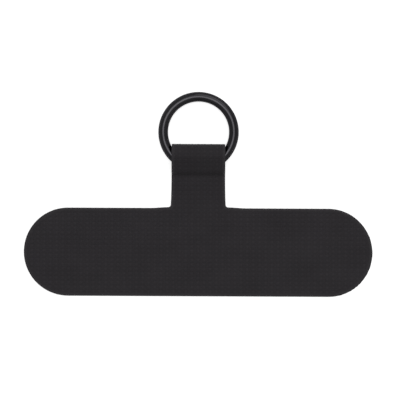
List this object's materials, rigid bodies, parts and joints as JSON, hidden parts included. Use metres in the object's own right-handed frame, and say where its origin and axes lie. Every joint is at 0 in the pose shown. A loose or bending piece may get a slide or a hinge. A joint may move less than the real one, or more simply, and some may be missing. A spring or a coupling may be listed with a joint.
{
  "type": "phone lanyard patch",
  "caption": "Flat black fabric tab with round ends and a short strip folded round a gloss black ring; it lies inside a phone case and the ring takes a lanyard.",
  "frame": {"origin": "middle of the tab's flat back face, where it lies in the phone case", "axes": "+X along the tab, +Y from the tab towards the ring, +Z out of the front face"},
  "size_m": [0.0601, 0.0352, 0.0036],
  "materials": {
    "coated_fabric": "matte",
    "ring_finish": "gloss"
  },
  "bodies": {
    "patch": {"patch": "coated_fabric"},
    "ring": {"ring": "ring_finish"}
  },
  "joints": [
    {"name": "ring_swing", "type": "hinge", "parent": "patch", "child": "ring", "pos_m": [0, 0.0146, 0.00136], "axis": [1, 0, 0], "range_deg": [0, 25]}
  ]
}
